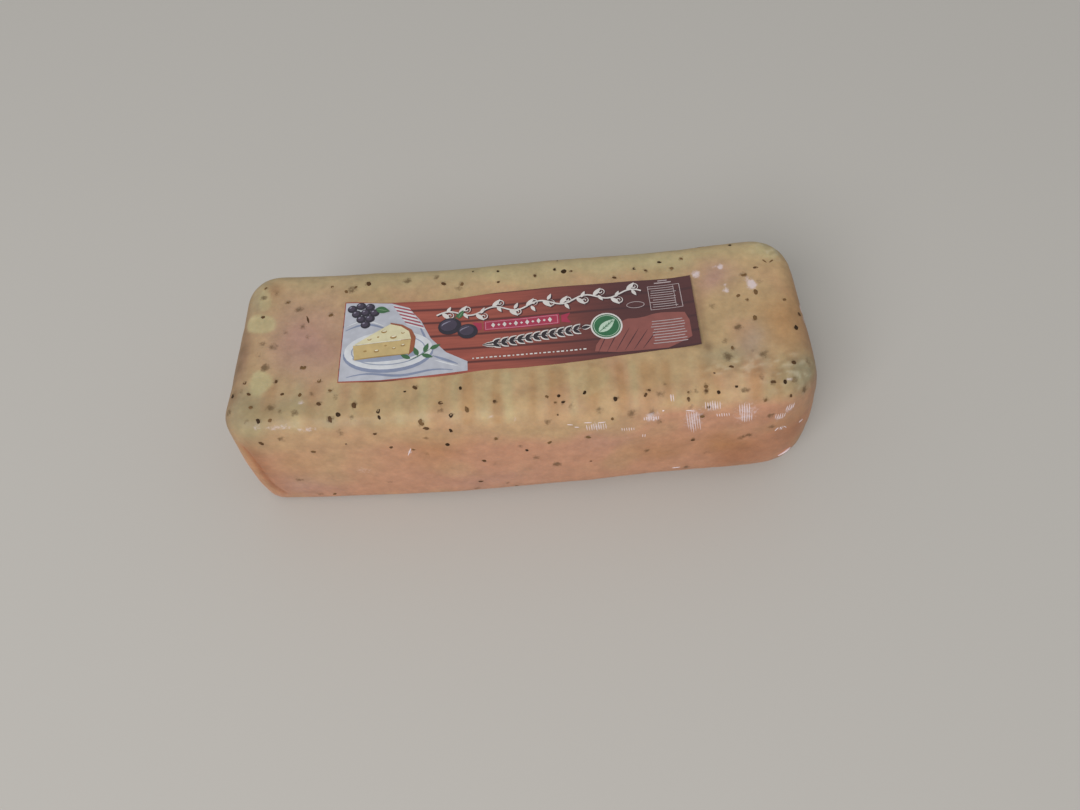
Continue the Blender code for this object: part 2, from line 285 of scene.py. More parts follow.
def on_front_face(x, z):
    return surface.ray_cast(Vector((x * MM, -TALL, z * MM)), Vector((0, 1, 0)))[:2]


def find_bits(top, front):
    """Place, way out and width of each bit."""
    found = [(*on_top(x, y), wide) for x, y, wide in top]
    return found + [(*on_front_face(x, z), wide) for x, z, wide in front]


black = find_bits(TOP_BLACK, FRONT_BLACK)
dark = find_bits(TOP_DARK, FRONT_DARK)
brown = find_bits(TOP_BROWN, FRONT_BROWN)
stains = find_bits(TOP_STAINS, FRONT_STAINS)
print(len(black), "black,", len(dark), "dark,", len(brown), "brown and", len(stains), "stains")

# %% Bits on the back and the two ends
HIDDEN_BUMPS = 28
HIDDEN_MORE = 72
SPINE = 97.25 * MM
SPINE_SHIFT = -1.2 * MM
BETWEEN_HEIGHTS = (10, 70)
APART = 7 * MM

rng = random.Random(11)
hidden = []
while len(hidden) < HIDDEN_BUMPS + HIDDEN_MORE:
    along = rng.uniform(-1, 1) * SPINE
    turn = rng.uniform(0, math.pi)
    start = Vector((along + SPINE_SHIFT, 0, rng.uniform(*BETWEEN_HEIGHTS) * MM))
    place, outward = surface.ray_cast(start, Vector((math.cos(turn), math.sin(turn), 0)))[:2]
    if all((place - other).length > APART for other, unused, wide in hidden):
        hidden.append((place, outward, 1.0 + 1.3 * rng.random()))
for at, bit in enumerate(hidden):
    kinds = (black, dark, brown, dark) if at < HIDDEN_BUMPS else (brown, stains, dark, stains, stains, black)
    kinds[at % len(kinds)].append(bit)
print(len(hidden), "more on the sides that the front view doesn't show")

# %% [markdown]
# ## The truffle bits themselves
#
# A bit of truffle is a flat, uneven chip one to three millimetres wide. It lies in the curd just under
# the skin, so only its flat face shows and it hardly stands out. A few chips are modelled from a short
# cylinder whose points are shaken. Each chip is then copied, turned and pressed into the rind with
# only a tenth of a millimetre left above it.

# %% Model a few chips
CHIP_KINDS = 9
CHIP_SIDES = 9

chips = []
for kind in range(CHIP_KINDS):
    bpy.ops.object.select_all(action="DESELECT")
    bpy.ops.mesh.primitive_cylinder_add(vertices=CHIP_SIDES, radius=0.5, depth=0.5, location=(0, 0, -0.25))
    chip = bpy.context.object
    chip.name = "chip"
    bpy.ops.object.transform_apply(location=True)
    bpy.ops.object.mode_set(mode="EDIT")
    bpy.ops.mesh.select_all(action="SELECT")
    bpy.ops.transform.vertex_random(offset=0.2, uniform=0.15, seed=kind + 3)
    bpy.ops.object.mode_set(mode="OBJECT")
    soften = chip.modifiers.new("soften", "BEVEL")
    soften.width = 0.08
    soften.segments = 1
    bpy.ops.object.modifier_apply(modifier=soften.name)
    for vert in chip.data.vertices:
        vert.co.z = min(vert.co.z, 0.02)
    chips.append(chip)
print("each chip has about", len(chips[0].data.polygons), "faces")

# %% Press the chips into the rind
BIT_PROUD = 0.1 * MM
BIT_SPREAD = 1.42  # a measured width is that of the dark middle, the chip is a little wider


def press_in(name, spots, seed, slivers=()):
    """Copies a chip to every spot, lies it flat on the rind and joins all of them into one piece."""
    rng = random.Random(seed)
    laid = []
    for place, outward, wide in spots:
        long = BIT_SPREAD * wide * rng.uniform(0.95, 1.25)
        laid.append((place, outward, long, long * rng.uniform(0.55, 0.85), rng.uniform(0, 360)))
    laid += [(*on_top(x, y), long, wide, turn) for x, y, long, wide, turn in slivers]
    copies = []
    for place, outward, long, wide, turn in laid:
        copy = bpy.data.objects.new(name, rng.choice(chips).data.copy())
        bpy.context.scene.collection.objects.link(copy)
        lie_flat = outward.to_track_quat("Z", "Y").to_matrix().to_4x4()
        spin = Matrix.Rotation(math.radians(turn), 4, "Z")
        stretch = Matrix.Diagonal((long * MM, wide * MM, wide * 0.5 * MM, 1))
        copy.data.transform(Matrix.Translation(place + outward * BIT_PROUD) @ lie_flat @ spin @ stretch)
        copies.append(copy)
    select_only(copies[0])
    for copy in copies:
        copy.select_set(True)
    bpy.ops.object.join()
    joined = bpy.context.object
    joined.name = name
    bpy.ops.object.mode_set(mode="EDIT")
    bpy.ops.mesh.select_all(action="SELECT")
    bpy.ops.mesh.normals_make_consistent(inside=False)
    bpy.ops.object.mode_set(mode="OBJECT")
    bpy.ops.object.shade_smooth_by_angle(angle=math.radians(40))
    return joined


black_bits = press_in("truffle_bits_black", black, 5, SLIVERS[:2])
dark_bits = press_in("truffle_bits_dark", dark, 6, SLIVERS[2:4])
brown_bits = press_in("truffle_bits_brown", brown, 7, SLIVERS[4:])
for chip in chips:
    bpy.data.objects.remove(chip)
print("bits have", [len(bits.data.polygons) for bits in (black_bits, dark_bits, brown_bits)], "faces")

# %% [markdown]
# ## The colour of the rind
# Some patches are painted light and shade: darker on the front top crest, on both ends, along the crease, on
# the left rim and beside the label's loose end, and lighter along the back strip of the top.
#
# A washed rind isn't one colour. It is straw yellow where it dried, salmon where the smear culture
# grew thickest, grey green where the curd shows at the corners, and brownish round each truffle bit.
# Fine mottling can come from noise in the material, but these broad zones have places of their own,
# so they are painted on the net's points as a colour attribute that the material then reads.

# %% Broad zones of colour
STRAW = "ba9d74"
SALMON = "bd8c6f"
OCHRE = "ab7c4f"
OLIVE = "b5a57c"
MAUVE = "b08a7c"
PALE = "bfb286"
GREY_GREEN = "9c9476"
RUST = "9a623f"
# A dark brown for smudges on the rind and for painted shade.
SMUDGE_AND_SHADE = "7c6247"
LILAC = "aa9482"
# Painted shade for the front top crest and its corners.
CREST_SHADE = "9a8762"
BROWN = "94765c"
FRESH = "d3c9ae"

# Colour, middle, reach and strength of each patch that stands out, in millimetres. The ones with a
# reach up to SMALL are bent less, so that they stay in place.
SMALL = 7
PATCHES = (
    (OLIVE, (-60, 44, 80), (120, 12, 20), 0.75),
    (OLIVE, (60, 42, 80), (90, 10, 20), 0.85),
    (MAUVE, (-112, 4, 80), (26, 32, 14), 0.75),
    (MAUVE, (-102, -10, 80), (12, 14, 14), 0.5),
    (GREY_GREEN, (-141, -41, 77), (10, 14, 10), 0.9),
    (PALE, (-136, -48, 75), (10, 4, 6), 0.6),
    (GREY_GREEN, (-118, -40, 79), (16, 10, 12), 0.4),
    (GREY_GREEN, (-143, 30, 78), (8, 14, 12), 0.6),
    (GREY_GREEN, (143, -32, 76), (12, 15, 12), 1.2),
    (GREY_GREEN, (104, -25, 80), (16, 7, 12), 0.5),
    (PALE, (137, 42, 80), (14, 9, 10), 0.7),
    (OCHRE, (136, -8, 80), (16, 26, 14), 0.5),
    (OCHRE, (148, 10, 60), (14, 44, 34), 0.7),
    (MAUVE, (106, 24, 80), (14, 10, 12), 0.7),
    (LILAC, (119, -18, 80), (9, 12, 12), 0.55),
    (RUST, (138, -48, 40), (18, 14, 26), 0.45),
    (RUST, (-141, -50, 40), (5, 10, 26), 0.6),
    (OCHRE, (-122, -52, 42), (16, 10, 20), 0.3),
    (STRAW, (-104, -54, 45), (34, 12, 24), 0.45),
    (OCHRE, (-48, -54, 52), (18, 10, 16), 0.45),
    (OCHRE, (66, -54, 40), (24, 10, 14), 0.45),
    (OCHRE, (104, -54, 40), (16, 10, 12), 0.6),
    (RUST, (112, -54, 30), (22, 12, 22), 0.5),
    (MAUVE, (-20, -55, 20), (34, 10, 14), 0.35),
    (MAUVE, (40, -55, 52), (20, 10, 14), 0.3),
    (STRAW, (25, -52, 66), (30, 10, 9), 0.6),
    (RUST, (-132.5, 36, 78), (5, 7, 8), 0.3),
    # Painted shade on the left end, which also has a browner rind.
    (SMUDGE_AND_SHADE, (-153, -10, 66), (9, 52, 20), 0.4),
    (MAUVE, (-125, -54, 18), (24, 10, 16), 0.5),
    (SMUDGE_AND_SHADE, (-139, -52, 63), (8, 8, 12), 0.4),
    # Painted shade on the front right corner of the top.
    (SMUDGE_AND_SHADE, (142, -38, 75), (9, 12, 9), 0.35),
    # Painted light: these two lighten the back strip of the top.
    (PALE, (-20, 43, 80), (34, 10, 12), 0.3),
    (PALE, (68, 43, 80), (26, 10, 12), 0.3),
    # Painted shade: these three darken the front top crest and its two corners, which face the light.
    (CREST_SHADE, (-96, -44, 78), (44, 8, 12), 0.45),
    (CREST_SHADE, (-134, -43, 79), (14, 10, 12), 0.8),
    (CREST_SHADE, (134, -38, 78), (12, 10, 9), 0.5),
    (BROWN, (-146, -8, 78), (8, 32, 12), 0.95),
    (SMUDGE_AND_SHADE, (-145.6, -1, 77), (4, 4.4, 6), 0.6),
    (SMUDGE_AND_SHADE, (-146, -12, 77), (2.5, 4.4, 5), 0.6),
    (SMUDGE_AND_SHADE, (-146.5, -31, 77), (3, 5.5, 5), 0.6),
    (SMUDGE_AND_SHADE, (-144, 8, 78), (2.4, 3.4, 5), 0.3),
    # Painted shade on the right end, which faces away from the light.
    (SMUDGE_AND_SHADE, (152, 0, 66), (7, 44, 18), 0.55),
    # Painted shadow that the label's loose right end casts on the rind.
    (SMUDGE_AND_SHADE, (94.5, -4, 80), (2.6, 24, 10), 0.35),
    (SMUDGE_AND_SHADE, (95, -19.5, 80), (3.2, 3, 10), 0.55),
)
# Patches of young curd with a clear outline: colour, middle, radius across and along, strength
CURD_PATCHES = (
    (PALE, (-136, 14, 80), (8, 7.5, 20), 0.75),
    (PALE, (-132.3, -27, 80), (6, 7.5, 20), 0.8),
    (PALE, (-138, 31, 80), (4.5, 7, 20), 0.45),
    (PALE, (136, 38, 80), (5, 4, 20), 0.4),
    (GREY_GREEN, (140, -36, 77), (6, 6, 12), 0.45),
    (PALE, (34, -32, 80), (8, 9, 20), 0.25),
    (PALE, (-9, -31, 80), (9, 8, 20), 0.2),
)
print(len(PATCHES) + len(CURD_PATCHES), "patches of colour")

# %% Layers of colour, from the widest to the smallest
PATCH_GAIN = 1.15
SALMON_UP_TO = (50, 66)  # at the left and at the right
SALMON_FADE = 17

crisp = places + 0.15 * (bent - places)
side_on = 1 - ramp(facing[:, 2], 0.35, 0.8)
salmon_top = SALMON_UP_TO[0] + (SALMON_UP_TO[1] - SALMON_UP_TO[0]) * ramp(places[:, 0], 45, 80)
low_down = 1 - ramp(bent[:, 2] - salmon_top, 0, SALMON_FADE)
blotches = noise_on(bent, (22, 22, 22), 31)
bands = noise_on(places, (6, 90, 60), 34) * ramp(-places[:, 1], 20, 30) * ramp(facing[:, 2], 0.3, 0.8)
layers = [
    (SALMON, side_on * (0.3 + 0.7 * low_down)),
    (SALMON, 0.42 * ramp(blotches, 0.0, 0.6)),
    (STRAW, 0.34 * ramp(-blotches, 0.0, 0.6)),
    (PALE, 0.4 * ramp(bands, 0.0, 0.5)),
    (OCHRE, 0.45 * ramp(-bands, 0.0, 0.5)),
]
for colour, middle, reach, strength in PATCHES:
    patch = field(middle, reach, bent if min(reach) > SMALL else crisp)
    layers.append((colour, PATCH_GAIN * strength * patch))
for colour, middle, radius, strength in CURD_PATCHES:
    layers.append((colour, strength * ramp(field(middle, radius), 0.14, 0.32)))
# Painted shade on the rim that turns to the left, where the rind is also browner.
shaded_left_rim = ramp(-facing[:, 0], 0.4, 0.8) * ramp(bent[:, 2], 48, 72)
by_crease = on_front * crease_ends
left_of_crease = by_crease * ramp(-across_crease, 0.6, 1.4) * (1 - ramp(-across_crease, 3.5, 5))
right_of_crease = by_crease * ramp(across_crease, 0, 1) * (1 - ramp(across_crease, 2, 8))
wrinkled = 1.3 * gathered * noise_on(places, (3.6, 2.2, 4), 35)
crumbs = wrinkled + crumbly * noise_on(places, (2.6, 2.6, 2.6), 36)
layers += [
    # Painted shade on the left-facing rim.
    (SMUDGE_AND_SHADE, 0.45 * shaded_left_rim),
    # Painted shade along the crease, in a rust tone.
    (RUST, 0.75 * crease),
    (OCHRE, 0.45 * left_of_crease),
    (RUST, 0.3 * right_of_crease),
    (FRESH, 0.32 * ramp(crumbs, 0.0, 0.6)),
    (SMUDGE_AND_SHADE, 0.3 * ramp(-crumbs, 0.0, 0.6)),
]
print(len(layers), "layers of colour")

# %% Paint the net
tones = np.tile(linear(STRAW)[:3], (count, 1))
for colour, amount in layers:
    tones += (np.array(linear(colour)[:3]) - tones) * np.clip(amount, 0, 1)[:, None]
print("the mean tone is", tones.mean(axis=0).round(3))

painted = rind.data.color_attributes.new("rind_tone", "FLOAT_COLOR", "POINT")
painted.data.foreach_set("color", np.hstack([tones, np.ones((count, 1))]).ravel())
print("painted", count, "points")

# %% Stains round the bits and over the deep ones
SMEAR = 1.1  # millimetres by which noise bends the stains


def stain_from(spots, spread, weakest, strongest):
    """How strongly the spots darken each point of the net."""
    rng = random.Random(9)
    stained = np.zeros(count)
    for place, unused, wide in spots:
        away = ((smeared - np.array(place) / MM) ** 2).sum(axis=1)
        strength = rng.uniform(weakest, strongest)
        stained = np.maximum(stained, strength * np.exp(-away / (spread + 0.5 * wide) ** 2))
    return stained


smeared = places + SMEAR * np.stack([noise_on(places, (4, 4, 4), seed) for seed in (41, 42, 43)], axis=1)
stain = np.zeros(count)
for spots, spread, weakest, strongest in (
    (black, 0.8, 0.5, 0.8),
    (dark, 1.1, 0.5, 0.9),
    (brown, 1.2, 0.4, 0.85),
    (stains, 1.5, 0.5, 0.95),
):
    stain = np.maximum(stain, stain_from(spots, spread, weakest, strongest))
stored = rind.data.attributes.new("truffle_stain", "FLOAT", "POINT")
stored.data.foreach_set("value", stain)
print("stains cover", int((stain > 0.3).sum()), "points")

# %% [markdown]
# ## Where the clear skin stands off
#
# Where the clear skin touches the rind it only adds gloss. Where it stands off it looks whitish, and
# along the rounded front edge it is stretched into fine upright ribs. The whitish places, together with
# painted highlights and glints of the film, become a second attribute. The ribs are modelled one by
# one, because they are finer than the net: each is a thin ridge laid along the rind, in a pale colour
# that paints the glint it catches.

# %% Whitish places of the skin and painted glints of the film
# These pale patches are mostly painted highlights and glints of the film, and partly whitish film where it
# stands off.
MILKY_AND_GLINTS = (
    ((95.3, 28.4, 80), (3.4, 3.2, 4), 0.9),
    ((108.7, 30.7, 81), (2.4, 2.4, 4), 0.95),
    ((105.5, 31.2, 81), (2.0, 1.2, 4), 0.6),
    ((109.6, 15.2, 81), (2.2, 2.2, 4), 0.9),
    ((109.9, 18.8, 81), (1.7, 1.5, 4), 0.7),
    ((122.6, 17.4, 82), (3.0, 4.2, 4), 1.2),
    ((121.2, 21.0, 82), (3.0, 2.4, 4), 0.6),
    ((147.6, 4.4, 75), (1.4, 3.4, 3), 1.2),
    ((147.9, -2.5, 74.4), (1.6, 3, 3), 0.7),
    ((-111.1, -37.6, 79), (1.9, 1.7, 3), 0.8),
    ((132.6, -40.4, 77.6), (2.6, 1.0, 3), 0.8),
    ((-133, -48.5, 76), (3.4, 3, 3), 0.5),
    ((85.0, -52, 64), (8, 8, 13), 0.52),
    ((94, -50, 71.5), (8, 6, 5), 0.45),
    ((111.0, -51, 66), (9, 8, 11), 0.52),
    ((129, -51.5, 59), (4, 5, 3.4), 0.6),
    ((133.4, -50, 64.5), (4, 5, 4), 0.6),
    ((131, -51.5, 48.8), (4.6, 5, 2.6), 0.5),
    ((143, -46.8, 46.4), (2, 3, 1.2), 0.8),
    ((36.4, -53, 64), (7, 6, 6), 0.45),
    ((64, -52, 68), (6, 5, 4.6), 0.65),
    ((73.8, -45.4, 76), (1.2, 1.4, 2.4), 0.7),
    ((-16, -49.8, 73.8), (2.6, 2, 2.4), 0.45),
    ((-4, -50.8, 72.7), (3, 2, 2.4), 0.4),
    ((-88, -54, 36), (7, 6, 6), 0.4),
    ((-60.3, -54, 51.5), (1.8, 5, 3.6), 0.6),
    ((-122, -49.2, 74.8), (13, 2.0, 2.2), 0.5),
    ((-108, -50.2, 73.4), (9, 1.8, 2.0), 0.5),
    ((52, -54, 52), (5, 5, 6), 0.25),
)
milk_and_glint_at = np.zeros(count)
for middle, reach, strength in MILKY_AND_GLINTS:
    milk_and_glint_at = np.maximum(milk_and_glint_at, strength * field(middle, reach, crisp))
stored = rind.data.attributes.new("milky_skin_and_glints", "FLOAT", "POINT")
stored.data.foreach_set("value", np.clip(milk_and_glint_at, 0, 1))
print("the skin is milky at", int((milk_and_glint_at > 0.3).sum()), "points")

# %% Tool for laying a thin ridge on the rind
ridges = bmesh.new()
rng = random.Random(8)


def lay_ridge(spots, wide, high, lift=0):
    """A thin ridge over spots on the rind, tapering to its ends. With a lift it stands up as a fin."""
    rows = []
    for at, (place, outward) in enumerate(spots):
        way = spots[min(at + 1, len(spots) - 1)][0] - spots[max(at - 1, 0)][0]
        side = way.cross(outward).normalized()
        full = math.sin(math.pi * (at + 0.4) / (len(spots) - 0.2)) ** 0.5
        crest = place + outward * (high * full + 0.04 * MM) + Vector((0, 0, lift * full))
        foot = place - outward * 0.1 * MM
        edges = (foot - side * wide * full / 2, crest, foot + side * wide * full / 2)
        rows.append([ridges.verts.new(point) for point in edges])
    for here, after in zip(rows, rows[1:]):
        for step in (0, 1):
            ridges.faces.new((here[step], here[step + 1], after[step + 1], after[step]))


# %% Ribs of the stretched skin along the front edge
# For each group: x and z of its middle, how many ribs, their length and how far they lean to the
# right on their way down, in millimetres
RIB_GROUPS = (
    (85.0, 62.6, 6, 19, 0.16),
    (94.0, 71.8, 7, 4.6, 0.1),
    (110.0, 68.4, 5, 8, 0.12),
    (111.8, 63.0, 5, 9, 0.12),
    (129.0, 61.0, 5, 4.6, 0.0),
    (133.4, 66.0, 4, 4.6, -0.1),
    (36.0, 64.0, 9, 6.0, 0.1),
    (63.5, 67.6, 7, 3.0, 0.1),
    (74.0, 75.6, 2, 2.6, 0.1),
    (60.3, 53.8, 2, 3.4, 0.0),
    (52.0, 60.0, 6, 3.0, 0.1),
    (99.5, 66.0, 6, 3.0, 0.2),
)
RIB_SPACING = 1.2
RIB_HIGH = 0.16 * MM
RIB_WIDE = 0.56 * MM

for middle, level, ribs, length, lean in RIB_GROUPS:
    for rib in range(ribs):
        beside = (rib - (ribs - 1) / 2) * RIB_SPACING
        long = length * (1 - 0.25 * abs(beside) / (ribs * RIB_SPACING / 2)) * rng.uniform(0.85, 1.0)
        start = level + rng.uniform(-0.05, 0.05) * length
        heights = [start + long * (share / 8 - 0.5) for share in range(9)]
        line = [on_front_face(middle + beside + lean * (level - up), up) for up in heights]
        lay_ridge(line, RIB_WIDE * rng.uniform(0.75, 1.1), RIB_HIGH)
print("ribs in", len(RIB_GROUPS), "groups")

# %% Single folds
# x and z of both ends on the front, and the width. A loose flap of film stands out low at the right.
FOLDS = (
    ((-61.7, 48.6), (-59.1, 55.2), 0.8),
    ((77.4, 18.0), (81.8, 18.4), 0.8),
    ((80.6, 70.6), (85.2, 69.8), 0.7),
    ((21.4, 67.4), (24.2, 67.0), 0.7),
    ((25.0, 65.4), (27.2, 64.9), 0.7),
    ((29.8, 67.8), (33.6, 67.6), 0.6),
    ((36.6, 67.0), (40.6, 67.2), 0.7),
    ((64.0, 66.4), (65.2, 66.4), 0.9),
    ((68.8, 71.2), (69.9, 71.4), 0.9),
    ((142.0, 46.3), (144.2, 46.8), 0.8),
    ((128.4, 47.6), (129.8, 50.4), 0.7),
    ((130.6, 50.6), (132.2, 47.4), 0.7),
    ((132.8, 50.2), (134.6, 47.8), 0.7),
)
for (x0, z0), (x1, z1), wide in FOLDS:
    steps = [(x0 + (x1 - x0) * share / 8, z0 + (z1 - z0) * share / 8) for share in range(9)]
    lay_ridge([on_front_face(*step) for step in steps], wide * MM, 0.25 * MM)
flap = [on_front_face(135.4 + 0.8 * step, 17.6 + 0.55 * step) for step in range(9)]
lay_ridge(flap, 0.8 * MM, 1.5 * MM, 2.4 * MM)
bmesh.ops.recalc_face_normals(ridges, faces=ridges.faces)
skin_ribs = bpy.data.objects.new("skin_ribs_and_folds", bpy.data.meshes.new("skin_ribs_and_folds"))
ridges.to_mesh(skin_ribs.data)
ridges.free()
bpy.context.scene.collection.objects.link(skin_ribs)
skin_ribs.data.shade_smooth()
print("the ribs have", len(skin_ribs.data.polygons), "faces")

# %% [markdown]
# ## Finish: washed rind under a clear skin
#
# Under the skin the rind is damp and waxy, with a soft sheen and a little light passing through it.
# The skin is a clear film with its own, sharper gloss, which a coat layer gives. Curd grain is about
# three millimetres, and the skin lies in soft waves about five millimetres apart.

# %% Washed rind
GRAIN = 3.2 * MM
SKIN_WAVE = 5 * MM
WAVE_TURN = math.tau / 20  # a wave texture repeats once in this length at scale 1

washed_rind, here = new_finish("washed_rind_under_clear_skin")
tone = add_node(washed_rind, "Attribute", {"attribute_name": "rind_tone"})
milk_and_glint_here = add_node(washed_rind, "Attribute", {"attribute_name": "milky_skin_and_glints"})
mottle = add_node(
    washed_rind, "TexNoise", {"Scale": 1 / (9 * MM), "Detail": 4.0, "Roughness": 0.6}, {"Vector": here}
)
mottle_shade = add_node(washed_rind, "MapRange", noise_to(0.87, 1.11), {"Value": (mottle, 0)})
grain = add_node(
    washed_rind, "TexNoise", {"Scale": 1 / GRAIN, "Detail": 4.0, "Roughness": 0.65}, {"Vector": here}
)
grain_shade = add_node(washed_rind, "MapRange", noise_to(0.93, 1.07), {"Value": (grain, 0)})
shade = add_node(washed_rind, "Math", {"operation": "MULTIPLY"}, {0: (mottle_shade, 0), 1: (grain_shade, 0)} )
shaded = add_node(
    washed_rind, "VectorMath", {"operation": "SCALE"}, {0: (tone, "Color"), "Scale": (shade, 0)} 
)
print("mottling and grain have", len(washed_rind.node_tree.nodes), "nodes so far")

# %% Stains, whitish skin and painted glints with ragged edges
STAIN_GRAIN = 1.5 * MM

ragged = add_node(
    washed_rind, "TexNoise", {"Scale": 1 / STAIN_GRAIN, "Detail": 2.0, "Roughness": 0.6}, {"Vector": here}
)
lower_edge = add_node(washed_rind, "MapRange", noise_to(0.06, 0.4), {"Value": (ragged, 0)})
upper_edge = add_node(washed_rind, "Math", {"operation": "ADD", 1: 0.6}, {0: (lower_edge, 0)})
stain_here = add_node(washed_rind, "Attribute", {"attribute_name": "truffle_stain"})
stain_share = add_node(
    washed_rind,
    "MapRange",
    {"interpolation_type": "SMOOTHSTEP", "To Max": 0.76},
    {"Value": (stain_here, "Fac"), "From Min": (lower_edge, 0), "From Max": (upper_edge, 0)},
)
milk_and_glint_share = add_node(
    washed_rind,
    "MapRange",
    {"interpolation_type": "SMOOTHSTEP", "To Max": 0.74},
    {"Value": (milk_and_glint_here, "Fac"), "From Min": (lower_edge, 0), "From Max": (upper_edge, 0)},
)
stained = add_node(
    washed_rind, "Mix", {"data_type": "RGBA", 7: linear("5a4429")}, {0: (stain_share, 0), 6: (shaded, 0)}
)
# This mix paints the film's glints and highlights, and its whitish places, in a pale lilac.
milk_and_glint = add_node(
    washed_rind, "Mix", {"data_type": "RGBA", 7: linear("dfd0d2")}, {0: (milk_and_glint_share, 0), 6: (stained, 2)}
)
grain_bump = add_node(washed_rind, "Bump", {"Strength": 0.3, "Distance": 0.3 * MM}, {"Height": (grain, 0)} )
skin_waves = add_node(washed_rind, "TexNoise", {"Scale": 1 / SKIN_WAVE, "Detail": 2.0}, {"Vector": here})
skin_bump = add_node(
    washed_rind,
    "Bump",
    {"Strength": 0.4, "Distance": 0.4 * MM},
    {"Height": (skin_waves, 0), "Normal": (grain_bump, 0)},
)
rough = add_node(washed_rind, "MapRange", noise_to(0.5, 0.66), {"Value": (mottle, 0)})
rind_shader = add_node(
    washed_rind,
    "BsdfPrincipled",
    {
        "IOR": 1.33,
        "Coat Weight": 0.07,
        "Coat Roughness": 0.2,
        "Coat IOR": 1.5,
        "Subsurface Weight": 0.1,
        "Subsurface Radius": (1.0, 0.5, 0.25),
        "Subsurface Scale": 3 * MM,
    },
    {
        "Base Color": (milk_and_glint, 2),
        "Roughness": (rough, 0),
        "Normal": (grain_bump, 0),
        "Coat Normal": (skin_bump, 0),
    },
)
add_node(washed_rind, "OutputMaterial", links={"Surface": (rind_shader, 0)})
rind.data.materials.clear()
rind.data.materials.append(washed_rind)
rind.data.shade_smooth()
print("the rind's finish has", len(washed_rind.node_tree.nodes), "nodes")

# %% Pale ribs and folds, coloured as painted glints
rib_glint_finish, here = new_finish("stretched_film_painted_glint")
# The pale colour paints the glints that the ribs, the folds and the loose flap catch.
film_shader = add_node(
    rib_glint_finish, "BsdfPrincipled", {"Base Color": linear("e6d8da"), "Roughness": 0.3, "IOR": 1.45}
)
add_node(rib_glint_finish, "OutputMaterial", links={"Surface": (film_shader, 0)})
skin_ribs.data.materials.append(rib_glint_finish)
print("ribs are of", rib_glint_finish.name)

# %% [markdown]
# ## Finish: truffle
#
# Truffle is brown black with paler veins. The skin's gloss hardly shows on such small bits, so they are
# matt. The black bits lie right under the skin, the others look browner for the curd over them.


# %% Truffle
def truffle_finish(name, dark, light):
    finish, here = new_finish(name)
    veins = add_node(finish, "TexNoise", {"Scale": 1 / (1.6 * MM), "Detail": 2.0}, {"Vector": here})
    blend = add_node(finish, "Mix", {"data_type": "RGBA", 6: linear(dark), 7: linear(light)}, {0: (veins, 0)})
    shader = add_node(finish, "BsdfPrincipled", {"Roughness": 0.7, "IOR": 1.3}, {"Base Color": (blend, 2)})
    add_node(finish, "OutputMaterial", links={"Surface": (shader, 0)})
    return finish


for bits, deep_colour, vein_colour in (
    (black_bits, "22160b", "442f18"),
    (dark_bits, "432f1b", "694b2f"),
    (brown_bits, "5f4529", "836440"),
):
    bits.data.materials.clear()
    bits.data.materials.append(truffle_finish(bits.name, deep_colour, vein_colour))
print("truffle on", black_bits.name, dark_bits.name, brown_bits.name)

# %% [markdown]
# ## The paper label
#
# The label is one long strip of coated paper, a little narrower at its right end. It was stuck on by
# hand, so it follows the broad shape of the top but bridges the small dents, and its right end has
# come loose. A grid is cut to the label's outline, dropped on the rind with a shrinkwrap, smoothed in
# height alone and lifted by a hair, which is how paper settles.

# %% Cut the label to its outline
# x, then y of the front edge and of the back edge
LABEL_EDGES = (
    (-93.7, -26.4, 26.1), (-72.2, -27.4, 24.6), (-49.2, -25.9, 24.6), (-7.2, -23.4, 27.6),
    (91.8, -18.4, 27.1),
)
PAPER_CELLS = (124, 36)
LABEL_LEFT, LABEL_RIGHT = LABEL_EDGES[0][0], LABEL_EDGES[-1][0]


def label_edge(x, side):
    """The label's front (1) or back (2) edge at x, bending softly from corner to corner."""
    for left, right in zip(LABEL_EDGES, LABEL_EDGES[1:]):
        if x <= right[0] or right is LABEL_EDGES[-1]:
            share = min(1, (x - left[0]) / (right[0] - left[0]))
            return left[side] + (right[side] - left[side]) * share * share * (3 - 2 * share)


bpy.ops.object.select_all(action="DESELECT")
bpy.ops.mesh.primitive_grid_add(x_subdivisions=PAPER_CELLS[0], y_subdivisions=PAPER_CELLS[1], size=1)
paper = bpy.context.object
paper.name = "label_paper"
for vert in paper.data.vertices:
    x = LABEL_LEFT + (vert.co.x + 0.5) * (LABEL_RIGHT - LABEL_LEFT)
    front, back = label_edge(x, 1), label_edge(x, 2)
    vert.co = Vector((x, front + (vert.co.y + 0.5) * (back - front), TALL / MM)) * MM
print("the label is cut from", len(paper.data.polygons), "cells")

# %% Drop it on the rind and let it settle
PAPER_THICK = 0.25 * MM
PAPER_LIFT = 0.3 * MM
LOOSE_END = 14.0
LOOSE_RISE = 1.3


def drop_on(thing, target):
    """Projects a flat thing straight down on the target."""
    drop = thing.modifiers.new("drop", "SHRINKWRAP")
    drop.target = target
    drop.wrap_method = "PROJECT"
    drop.use_project_z = True
    drop.use_negative_direction = True
    drop.use_positive_direction = False
    select_only(thing)
    bpy.ops.object.modifier_apply(modifier=drop.name)


drop_on(paper, rind)
flatten = paper.modifiers.new("flatten", "SMOOTH")
flatten.use_x = flatten.use_y = False
flatten.factor = 0.5
flatten.iterations = 40
bpy.ops.object.modifier_apply(modifier=flatten.name)
for vert in paper.data.vertices:
    loose = max(0, 1 - (LABEL_RIGHT - vert.co.x / MM) / LOOSE_END)
    front_corner = 1.25 - 0.5 * (vert.co.y / MM + 19) / 46
    wave = 0.12 * noise.noise(Vector((vert.co.x / MM / 24, vert.co.y / MM / 30, 3.3)))
    vert.co.z += PAPER_LIFT + (LOOSE_RISE * front_corner * loose**2 + wave) * MM
paper_top = max(vert.co.z for vert in paper.data.vertices)
print("the label's highest point is", round(paper_top / MM, 1), "mm above the table")

